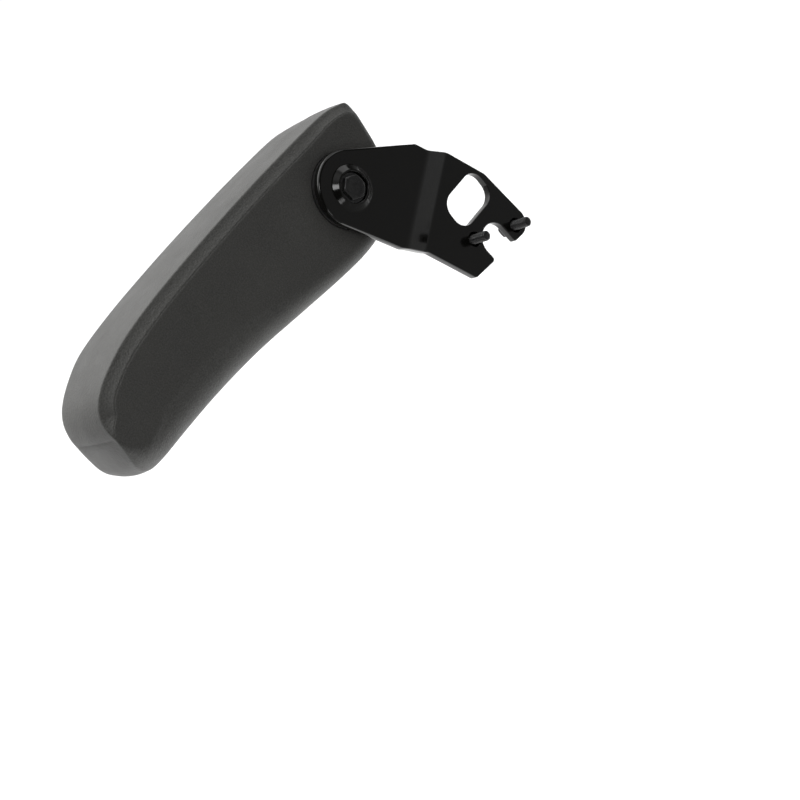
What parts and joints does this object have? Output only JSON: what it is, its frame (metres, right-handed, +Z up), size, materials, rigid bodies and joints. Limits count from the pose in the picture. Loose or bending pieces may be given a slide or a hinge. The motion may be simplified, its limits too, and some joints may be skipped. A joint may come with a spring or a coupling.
{
  "type": "flip-up seat armrest",
  "caption": "Padded seat armrest that lifts on a pivot bolt at the end of a joggled steel side bracket, with a hidden stop and a two-bolt mounting plate.",
  "frame": {"origin": "midway between the two mounting bolts, on the face of the mounting plate that meets the seat", "axes": "+X forward to the pad's nose, +Y inboard towards the seat and out along the mounting bolts, +Z up"},
  "size_m": [0.2784, 0.0725, 0.1525],
  "materials": {
    "pad_skin": "matte",
    "bracket_paint": "gloss",
    "black_steel": "satin",
    "bare_steel": "satin",
    "bushing_nylon": "satin"
  },
  "bodies": {
    "bracket": {"bracket_plate": "bracket_paint", "stop_stud": "bare_steel", "pivot_bushing": "bushing_nylon", "disc_spring": "black_steel", "rear_mounting_bolt": "black_steel", "front_mounting_bolt": "black_steel"},
    "pad": {"pad_moulding": "pad_skin", "core_web": "bare_steel", "core_shelf": "bare_steel", "core_gussets": "bare_steel", "hub_cup": "bare_steel", "threaded_boss": "bare_steel", "thrust_washer": "bare_steel", "pivot_bolt": "black_steel"}
  },
  "joints": [
    {"name": "pad_lift", "type": "hinge", "parent": "bracket", "child": "pad", "pos_m": [0.057, 0, 0.09], "axis": [0, -1, 0], "range_deg": [0, 90]}
  ]
}
